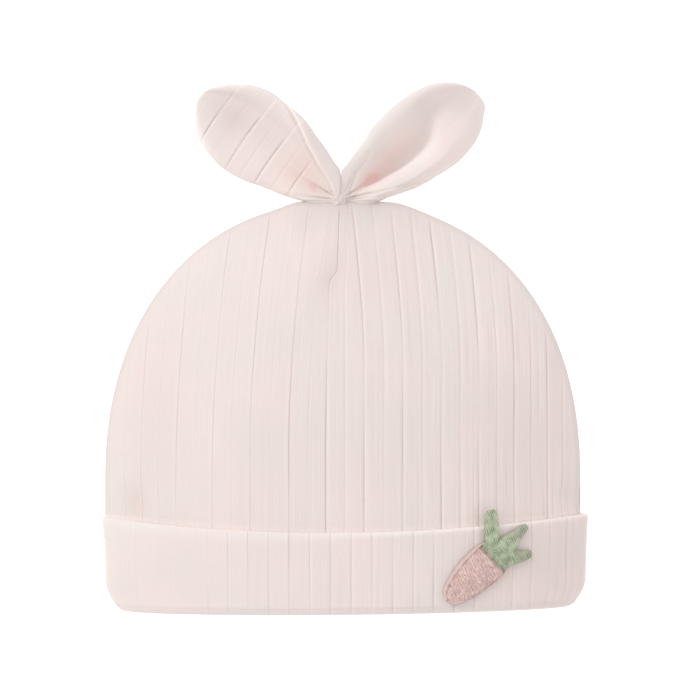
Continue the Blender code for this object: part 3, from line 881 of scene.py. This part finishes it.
def earSheet(name, station, place):
    # the upper side of an ear, and each point's place over it and along it
    side, angle, root, length = (earWays[name][key] for key in ("side", "angle", "root", "length"))
    turnX, turnY = math.cos(angle), math.sin(angle)
    outerHalf = smoothTable(earOutline[name], station, 1) * ear["halfWidth"]
    innerHalf = smoothTable(earOutline[name], station, 2) * ear["halfWidth"]
    over = place * np.where(place > 0, innerHalf, outerHalf)
    slant = ear["rootSlant"] * np.maximum(0.0, 1 - station / ear["slantReach"])
    rootMiddle = side * root / 2
    far = station * length - slant * over
    x = rootMiddle + far * turnX - over * side * turnY
    y = hat["top"] + hat["gap"] + far * turnY + over * side * turnX
    # the two ears press against each other where they meet
    beside = side * (x - ear["meet"])
    pressed = ear["press"] * np.exp(np.minimum(beside / ear["press"] - 1, 0))
    soft = ear["overlap"] * ease(1.5 - beside / ear["press"])
    x = ear["meet"] + side * (np.where(beside < ear["press"], pressed, beside) - soft)
    hold = 1 - ease(station / ear["rootReach"])
    gathered = rootMiddle - side * place * root / 2 + ear["meet"] * (1 + place) / 2
    dome = (1 - np.abs(gathered / hat["halfWidth"]) ** hat["domeRound"]) ** (1 / hat["domeRound"])
    edge = hat["top"] - (hat["top"] - hat["widest"]) * (1 - dome)
    x = x * (1 - hold) + gathered * hold
    # the root is sewn in under the crown's edge
    y = y * (1 - hold) + (edge + hat["gap"] + shoulder(gathered)) * hold
    y = y - ear["rootSlip"] * (1 - ease(station / 0.035)) * (1 - np.maximum(-place, 0.0) ** 3)
    fold = smoothTable(earFolds[name], station, 1) * ear["foldHeight"]
    lift = smoothTable(earFolds[name], station, 2) * hat["seam"]
    section = place
    if name == "ear_right":
        valley = smoothTable(valleyLine, station)
        below = -1 + (place + 1) * 1.1 / (valley + 1)
        above = 0.1 + (place - valley) * 0.9 / (1 - valley)
        section = np.where(place < valley, below, above)
    # the fold sinks to the seam at the root, least under the tack
    sunk = 0.75 * (1 - ease(station / 0.06)) * (1 - 0.5 * ease((place - 0.55) / 0.35))
    tip = np.sqrt(np.clip(1 - station**16, 0.0, 1.0)) * (1 - sunk)
    up = ear["wall"] + lift + fold * tip * smoothTable(earSection[name], section)
    return x, y, up, over, far


def fanFolds(name, x, y):
    # relief, pink and shade of the folds that fan out from the tack
    relief, pink, shade = 0.0, 0.0, 0.0
    reach = np.hypot(x - ear["tackAcross"], y - ear["tackHeight"])
    bearing = np.degrees(np.arctan2(y - ear["tackHeight"], x - ear["tackAcross"]))
    for angle, depth, width, length, pinkness, darkness in earFans[name]:
        beside, fade = (bearing - angle) / width, bell(reach / length)
        line = bell(beside) * fade * ease(reach / 0.006)
        thin = bell(beside / 0.6) * fade * ease((reach - 0.0010) / 0.003)
        relief, pink, shade = relief - depth * line, pink + pinkness * line, shade + darkness * thin
    return relief, pink, shade


def lipFolds(station, place, over, past, number, lip):
    # relief, shade and marks of the ribs and of the lip that is folded over at the inner edge
    strong = np.where(number % 2 == 1, 1.0, ear["weakRib"])
    strong = strong * np.clip(0.8 + 0.5 * waves(number * 0.8, over, 0.02, 17), 0.2, 1.0)
    strong = strong * ease((1 - np.abs(place)) / 0.06) * ease((station - 0.06) / 0.10)
    bright = strong * ease((0.96 - station) / 0.03)
    # towards the lip only the light beside each groove is left
    marks = bright * (0.12 + 0.88 * ease((0.0105 - over) / 0.005)) * (0.5 + 0.5 * ease((place + 1) / 0.35))
    flap = ease((station - 0.03) / 0.07) * ease((0.62 - station) / 0.14)
    clear = flap * (0.25 + 0.75 * ease((station - 0.12) / 0.14))
    beyond = place - lip
    relief = -ear["grooveDepth"] * bell(past / ear["grooveHalf"]) * marks
    relief = relief + ear["lipLift"] * flap * ease(beyond / 0.030)
    relief = relief - ear["lipDip"] * flap * bell((beyond + 0.015) / 0.026)
    shade = ear["grooveShade"] * bell(past / ear["shadeHalf"]) * marks
    shade = shade - ear["lightLine"] * bell((past - ear["lightPlace"]) / ear["lightHalf"]) * bright
    # painted shade at the lip's edge, a painted highlight just past it and more painted shade further on
    shade = shade + 0.42 * clear * bell((beyond + 0.004) / 0.010)
    shade = shade - 0.62 * clear * bell((beyond - 0.032) / 0.028)
    shade = shade + 0.26 * flap * ease((beyond - 0.05) / 0.12)
    return relief, shade, marks


def hollowFolds(station, place, valley):
    # relief and shade of the valley, and of the crease above it
    beyond = place - valley
    relief = -ear["valleyDepth"] * bell(beyond / 0.09) * bell((station - 0.20) / 0.14)
    # the hollow lies in shade down to its valley, and the slope below it is bright
    inHollow = ease((station - 0.08) / 0.08) * ease((0.86 - station) / 0.36)
    step = 0.05 + 0.12 * ease((station - 0.35) / 0.30)
    shade = 0.40 * ease((step + beyond) / (2 * step)) * bell(beyond / 0.36)
    shade = shade - 0.66 * ease((step - beyond) / (2 * step)) * bell((beyond + 0.10) / 0.26)
    crease = place - smoothTable(creaseLine, station)
    shown = ease((station - 0.03) / 0.08) * ease((0.34 - station) / 0.20)
    relief = relief - ear["creaseDepth"] * shown * bell(crease / 0.035)
    line = 0.20 * bell(crease / 0.022) - 0.18 * bell((crease + 0.075) / 0.045)
    return relief, shade * inHollow + shown * line


def outAndBack(upper, lower):
    # one closed skin: out over the face, then back under it
    return np.concatenate([upper, lower[:, -2:0:-1]], axis=1)


def buildEar(name, title, finish):
    stations = np.linspace(0, 1, ear["stations"])
    stations = 0.5 * stations + 0.5 * (1 - np.cos(math.pi * stations)) / 2
    sweep = np.linspace(-1, 1, ear["places"])
    sweep = 0.45 * sweep + 0.55 * np.sin(math.pi / 2 * sweep)
    station, place = np.meshgrid(stations, sweep, indexing="ij")
    ribbed = name == "ear_left"
    if ribbed:
        # the columns follow the folded lip's edge
        lip = smoothTable(lipLine, station)
        place = np.where(
            place < 0.7, -1 + (place + 1) * (lip + 1) / 1.7, lip + (place - 0.7) * (1 - lip) / 0.3
        )
    x, y, up, over, far = earSheet(name, station, place)
    thick = ear["wall"] * np.sqrt(np.clip(1 - place**6, 0.0, 1.0)) * np.sqrt(1 - station**14 * 0.97)
    middle = up - ear["wall"] / 2
    away = far - ear["ribTilt"] * over + ear["ribBend"] * over**2
    away = away + ear["jogShift"] * bell((far - ear["jogPlace"]) / ear["jogReach"])
    past, number = pastGroove(away, ear)
    relief, pink, shade = fanFolds(name, x, y)
    pink = pink + spread(earTints[name], station, place, 4)
    shade = shade + spread(earTints[name], station, place, 5)
    none = np.zeros(station.shape)
    if ribbed:
        folds, lines, marks = lipFolds(station, place, over, past, number, lip)
        pale = ease((station - 0.62) / 0.22) * ease(0.5 - place)
    else:
        valley = smoothTable(valleyLine, station)
        folds, lines = hollowFolds(station, place, valley)
        marks = none
        pink = pink * (0.12 + 0.88 * ease((place - valley + 0.05) / 0.08))
        pale = ease(place / 0.2) * ease((station - 0.15) / 0.15)
    # pale edges towards the light and thin darker ones away from it
    nearEdge = 1 - np.abs(place)
    edge = 0.28 * bell(nearEdge / 0.035) * (1 - pale) - 0.50 * bell(nearEdge / 0.18) * pale
    shade = shade + lines + edge
    relief = relief + folds + ear["wobble"] * waves(far, over, 0.022, 21 if ribbed else 22)
    upper = np.stack([x, y - hat["rest"], middle + thick / 2 + relief], axis=-1)
    lower = np.stack([x, y - hat["rest"], np.maximum(middle - thick / 2, 0.0)], axis=-1)
    upper[..., 2] = np.maximum(upper[..., 2], lower[..., 2])
    points = outAndBack(upper, lower)
    distance = np.abs(past)
    layers = (
        (outAndBack(over, over), outAndBack(far, far)),
        (outAndBack(distance, distance), outAndBack(marks, none)),
        (outAndBack(pink, none), outAndBack(shade, none)),
    )
    rows, columns = points.shape[:2]
    faces = gridFaces(rows, columns, wrap=True)
    faces += [list(range(columns))[::-1], list(range((rows - 1) * columns, rows * columns))]
    if earWays[name]["side"] < 0:
        faces = [face[::-1] for face in faces]
    makePiece(title, points, faces, layers, finish, [name])


buildEar("ear_left", "earLeftCloth", earRibCloth)
buildEar("ear_right", "earRightCloth", plainCloth)

# The carrot on the band, root and leaves, both wound and padded
carrot = {
    "length": 0.0243,
    "thick": 0.0036,
    "tipAcross": 0.0380,
    "tipHeight": 0.0035,
    "angle": math.radians(43.8),
    "ridge": 0.00105,
    "ridgeDepth": 0.00026,
    "endDrop": 0.74,
    "leafThick": 0.0030,
    "threadPitch": 0.00084,
    "threadDepth": 0.00036,
    "rimSection": 0.34,
    "seamHalf": 0.00022,
    "seamDip": 0.10,
    "patchScale": 260.0,
    "fibreScale": 3200.0,
    "speckScale": 1500.0,
}
# The root: how far along its axis, its lower right edge, its stitched seam and its upper left edge
carrotOutline = (
    (-0.0001, 0.0014, 0.0014, 0.0016), (0.0006, -0.0009, 0.0014, 0.0034), (0.0012, -0.0017, 0.0024, 0.0043),
    (0.0025, -0.0027, 0.0038, 0.0053), (0.0054, -0.0038, 0.0050, 0.0064), (0.0083, -0.0047, 0.0058, 0.0072),
    (0.0122, -0.0055, 0.0065, 0.0079), (0.0160, -0.0061, 0.0068, 0.0081), (0.0192, -0.0064, 0.0069, 0.0080),
    (0.0220, -0.0063, 0.0068, 0.0077), (0.0243, -0.0056, 0.0063, 0.0071),
)
carrotLeaves = (
    # name, place along the root's axis and to its left, angle, length, radius at its foot and tip,
    # shade all over, at its edge and how grey its tip is
    ("leafBase", 0.0252, -0.0060, 90.0, 0.0130, 0.0037, 0.0037, 0.17, 0.0, 0.15),
    ("leafUp", 0.0243, 0.0029, 47.0, 0.0150, 0.0028, 0.0027, 0.0, 0.30, 0.15),
    ("leafMiddle", 0.0243, 0.0002, 0.5, 0.0154, 0.0048, 0.0021, 0.0, 0.30, 0.80),
    ("leafSide", 0.0245, -0.0024, -33.0, 0.0112, 0.0031, 0.0021, 0.16, 0.30, 0.80),
)


def onBand(across, height, thick):
    # a height over the front of the band, measured square to its cloth
    half = halfWidthAt(height)
    share = np.minimum(np.abs(across / half), 0.97)
    slope = (frontHeight(share + 0.01, 0) - frontHeight(share - 0.01, 0)) / (0.02 * half)
    flare = band["flare"] * (np.minimum(height, band["height"]) / band["height"]) ** 2
    offset = 2 * hat["gap"] + band["wall"] + flare + thick
    return frontHeight(share, 0) + offset * np.sqrt(1 + slope**2)


def paddedSpot(start, angle, along, over, thick):
    across = start[0] + along * math.cos(angle) - over * math.sin(angle)
    height = start[1] + along * math.sin(angle) + over * math.cos(angle)
    return settled(across, height, onBand(across, height, thick))


def yarnFinish(name, look):
    finish = Finish(name)
    ridge, rim = finish.pair("marks")
    warm, shade = finish.pair("tint")
    patches = finish.noise(carrot["patchScale"], 3.0)
    fibres = finish.noise(carrot["fibreScale"], 3.0, (1.0, 0.3, 1.0))
    specks = finish.noise(carrot["speckScale"], 2.0, (1.0, 0.55, 1.0))
    flecks = ((specks - 0.56) * 7.0).between() * (1 - rim).between()
    base = finish.mix(((patches - 0.35) * 3.2).between(), look["dark"], look["light"])
    base = finish.coats(base, look, (
        (warm, "warm"),
        (rim, "rim"),
        (ridge * look["ridgeShade"], "groove"),
        (flecks * look["speckShade"], "fleck"),
        # the seam colour draws the root's stitched seam and is also painted shade: in the groove under the
        # leaves, along the root's lower right edge and along the leaves' edges, and it darkens two whole
        # leaves
        (shade, "seam"),
    ))
    return finish.plug({
        "Base Color": base,
        "Roughness": (fibres * 0.2 + 0.72).between(),
        "Normal": finish.bump(fibres, 0.00008, 0.9),
        "Sheen Weight": 0.2,
        "Specular IOR Level": 0.25,
    })


rootYarn = yarnFinish("rootYarn", {
    "light": paint(228, 198, 191),
    "dark": paint(212, 181, 178),
    "warm": paint(231, 196, 184),
    "groove": paint(158, 118, 114),
    "fleck": paint(240, 222, 216),
    "rim": paint(234, 209, 203),
    # the seam's line, and also painted shade under the leaves and along the lower right edge
    "seam": paint(132, 100, 94),
    "ridgeShade": 0.72,
    "speckShade": 0.95,
})
leafYarn = yarnFinish("leafYarn", {
    "light": paint(205, 212, 186),
    "dark": paint(176, 182, 157),
    "warm": paint(188, 204, 170),
    "groove": paint(112, 122, 100),
    "fleck": paint(222, 230, 206),
    "rim": paint(184, 180, 165),
    # painted shade along the leaves' edges, and it also darkens two whole leaves
    "seam": paint(112, 118, 98),
    "ridgeShade": 0.78,
    "speckShade": 0.60,
})


def windings(spots, pitch, size, depth, seed):
    # threads that run one way over the whole carrot: 1 on each of them, 0 between two
    crook = waves(spots[..., 0], spots[..., 1], size, seed) * depth
    thread = (spots[..., 0] + 0.50 * spots[..., 1] + crook) / pitch
    return 0.5 - 0.5 * np.cos(2 * math.pi * thread)


def makePadded(name, points, layers, finish, node):
    shape = points.shape[:2]
    layers = [[np.broadcast_to(side, shape) for side in pair] for pair in layers]
    faces = gridFaces(*shape, wrap=True, flip=True)
    piece = makePiece(name, points, faces, layers, finish, [node], 0.000002)


def buildRoot():
    rings, sides = 190, 96
    share = np.linspace(0, 1, rings)[:, None]
    share = 0.5 * (1 - np.cos(math.pi * share)) / 2 + 0.5 * share
    turn = turnsRound(sides)
    across, rise = np.cos(turn), np.sin(turn)
    above = rise > 0
    along = carrotOutline[0][0] + share * (carrot["length"] - carrotOutline[0][0])
    low, seamOver, high = (smoothTable(carrotOutline, along, column) for column in (1, 2, 3))
    middle, half = (low + high) / 2, np.maximum((high - low) / 2, 0.0)
    over = middle + half * across
    section = np.where(above, 0.22 + 0.78 * np.abs(rise) ** 0.8, 0.22 * (1 + rise))
    # a low pale rim runs along the upper left side, behind a stitched seam
    beyond = (over - seamOver) * above
    onRim = ease(beyond / 0.0003 + 0.3) * above
    section = section * (1 - onRim) + np.minimum(section, carrot["rimSection"]) * onRim
    broken = 0.75 + 0.35 * waves(along, over, 0.003, 35)
    seam = bell(beyond / carrot["seamHalf"]) * above * broken
    section = section - carrot["seamDip"] * seam
    filled = np.minimum(1.0, half / np.max(half) * 1.6)
    # the root drops where the leaves cover it
    dropped = carrot["endDrop"] * ease((along - 0.0216) / 0.0013) * (1 - onRim)
    thick = carrot["thick"] * section * filled * (1 - dropped)
    start = (carrot["tipAcross"], carrot["tipHeight"])
    flat = paddedSpot(start, carrot["angle"], along, over, thick)
    ridge = windings(flat, carrot["ridge"], 0.0035, 0.00045, 31)
    stitch = 0.5 + 0.5 * waves(flat[..., 0] * 1.6, flat[..., 1], 0.0022, 33)
    raised = carrot["ridgeDepth"] * (ridge - 0.5 + 0.8 * (stitch - 0.5))
    thick = thick + raised * above * filled * (1 - onRim)
    # each end closes in one point
    ends = np.isin(np.arange(rings), (0, rings - 1))[:, None]
    over = np.where(ends, middle, over)
    thick = np.where(ends, carrot["thick"] * 0.15, np.maximum(thick, 0.0))
    points = paddedSpot(start, carrot["angle"], along, over, thick)
    warmth = 0.55 * bell((share - 0.38) / 0.17) * bell((across - 0.30) / 0.35)
    # painted shade in the groove where the leaves cover the root, and a painted shadow along its lower
    # right edge
    end = 0.60 * bell((share - 0.900) / 0.014) * (1 - onRim)
    under = 0.45 * bell((across + 0.96) / 0.07)
    layers = (
        (over, along),
        ((1 - ridge) * (1 - onRim) * np.clip(stitch, 0, 1), onRim),
        (warmth * above, np.clip(seam * 0.75 + end + under, 0, 1)),
    )
    makePadded("carrotRoot", points, layers, rootYarn, "carrot_root")


def buildLeaf(name, past, side, degrees, length, footRadius, tipRadius, dimmed, edgeShade, tipGrey):
    rings, sides = 110, 56
    angle = carrot["angle"] + math.radians(degrees)
    start = (
        carrot["tipAcross"] + past * math.cos(carrot["angle"]) - side * math.sin(carrot["angle"]),
        carrot["tipHeight"] + past * math.sin(carrot["angle"]) + side * math.cos(carrot["angle"]),
    )
    half = math.pi * np.linspace(0, 1, rings)[:, None]
    turn = turnsRound(sides)
    blunt = np.sqrt(np.abs(np.sin(half)))
    blunt[0] = blunt[-1] = 0.0
    share = (1 - np.cos(half)) / 2
    radius = footRadius + (tipRadius - footRadius) * ease(share / 0.8)
    along = length * share
    over = radius * blunt * np.cos(turn)
    thick = carrot["leafThick"] * (1 + np.sin(turn) * blunt) / 2 * (0.6 + 0.4 * radius / footRadius)
    flat = paddedSpot(start, angle, along, over, thick)
    ridge = windings(flat, carrot["threadPitch"], 0.0034, 0.00028, 41)
    uneven = np.clip(0.75 + 0.45 * waves(flat[..., 0] * 1.5, flat[..., 1], 0.004, 43), 0.2, 1.2)
    raised = carrot["threadDepth"] * (ridge - 0.5) * uneven * np.maximum(np.sin(turn), 0) * blunt
    points = paddedSpot(start, angle, along, over, thick + raised)
    # painted shade along both edges of the leaf
    edge = 0.55 * bell((np.cos(turn) - 1.0) / 0.20) + 0.4 * bell((np.cos(turn) + 1.0) / 0.20)
    layers = (
        (over, along),
        ((1 - ridge) * uneven, tipGrey * ease((share - 0.35) / 0.5)),
        (0.6 * bell((share - 0.45) / 0.4), edge * edgeShade + dimmed),
    )
    makePadded(name, points, layers, leafYarn, "carrot_leaves")


buildRoot()
for leaf in carrotLeaves:
    buildLeaf(*leaf)

# The tack that holds the ears: a few turns of pale thread where the folds meet
tack = {
    "across": -0.0013,
    "height": 0.1507,
    "up": 0.0114,
    "long": 0.0040,
    "radius": 0.00021,
    "turns": 3,
    "spacing": 1.7,
    "crossing": 0.00015,
    "rise": 0.0008,
    "sink": 0.0012,
}
threadFinish = Finish("tackThread")
threadFuzz = threadFinish.noise(3000.0, 2.0)
threadPaint = threadFinish.mix(threadFuzz, paint(238, 222, 215), paint(248, 237, 231))
threadFinish.plug({
    "Base Color": threadPaint,
    "Roughness": 0.7,
    "Normal": threadFinish.bump(threadFuzz, 0.00005, 0.8),
})


def buildTack():
    rings, sides = 22, 8
    sweep = np.linspace(-1, 1, rings)[:, None]
    turn = turnsRound(sides)
    width = tack["radius"] * np.sqrt(np.clip(1.02 - sweep**8, 0, 1))
    y = tack["height"] - hat["rest"] + sweep * tack["long"] / 2 + 0 * turn
    # the ends sink into the cloth
    z = tack["up"] + tack["rise"] * sweep - tack["sink"] * sweep**2 + width * np.sin(turn)
    allPoints, allFaces = [], []
    for number in range(tack["turns"]):
        lane = (number - (tack["turns"] - 1) / 2) * tack["radius"] * tack["spacing"]
        x = tack["across"] + lane + width * np.cos(turn) - tack["crossing"] * (number - 1.5) * sweep
        points = np.stack([x, y, z], axis=-1)
        start = number * rings * sides
        allPoints.append(points.reshape(-1, 3))
        allFaces += gridFaces(rings, sides, start, wrap=True, flip=True)
        allFaces.append([start + side for side in range(sides)])
        allFaces.append([start + (rings - 1) * sides + side for side in range(sides)][::-1])
    points = np.concatenate(allPoints)
    layers = [(points[:, 0], points[:, 1])]
    makePiece("tackThread", points, allFaces, layers, threadFinish.material, [])


buildTack()

# A plain pale floor, soft studio light and the camera straight above
studio = {
    "cameraHeight": 1.2,
    "aimAcross": 0.0023,
    "aimHeight": 0.0953,
    "frameWidth": 0.2597,
    "sensor": 36.0,
    "worldLight": 0.90,
    "keyPower": 4.6,
    "keyPlace": (-0.75, 0.75, 0.95),
    "keySize": 0.9,
    "floorGlow": 0.42,
    "floorHalf": 2.5,
    "floorPlace": (0.0, 0.0, -0.0003),
}


def buildStudio():
    scene = bpy.context.scene
    scene.view_settings.view_transform = "Standard"
    scene.world = bpy.data.worlds.new("studioLight")
    scene.world.use_nodes = True
    glow = scene.world.node_tree.nodes["Background"].inputs
    glow["Color"].default_value = (1.0, 1.0, 1.0, 1.0)
    glow["Strength"].default_value = studio["worldLight"]
    lamp = bpy.data.lights.new("keyLight", "AREA")
    lamp.energy = studio["keyPower"]
    lamp.size = studio["keySize"]
    light = placed("keyLight", lamp, studio["keyPlace"])
    light.rotation_euler = Vector(studio["keyPlace"]).to_track_quat("Z", "Y").to_euler()
    plate = bmesh.new()
    bmesh.ops.create_grid(plate, x_segments=8, y_segments=8, size=studio["floorHalf"])
    floorMesh = bpy.data.meshes.new("paleFloor")
    plate.to_mesh(floorMesh)
    plate.free()
    floorFinish = Finish("paleFloor")
    grain = floorFinish.noise(6.0, 2.0)
    floorMesh.materials.append(floorFinish.plug({
        "Base Color": floorFinish.mix(grain, paint(249, 249, 249), paint(252, 252, 252)),
        "Roughness": 0.9,
        "Emission Color": (1.0, 1.0, 1.0, 1.0),
        "Emission Strength": studio["floorGlow"],
    }))
    floor = placed("paleFloor", floorMesh, studio["floorPlace"])
    eye = bpy.data.cameras.new("pictureCamera")
    eye.sensor_width = studio["sensor"]
    eye.lens = studio["sensor"] * studio["cameraHeight"] / studio["frameWidth"]
    eye.clip_start = 0.01
    aim = (studio["aimAcross"], studio["aimHeight"] - hat["rest"], studio["cameraHeight"])
    scene.camera = placed("pictureCamera", eye, aim)


buildStudio()
print("studio ready")
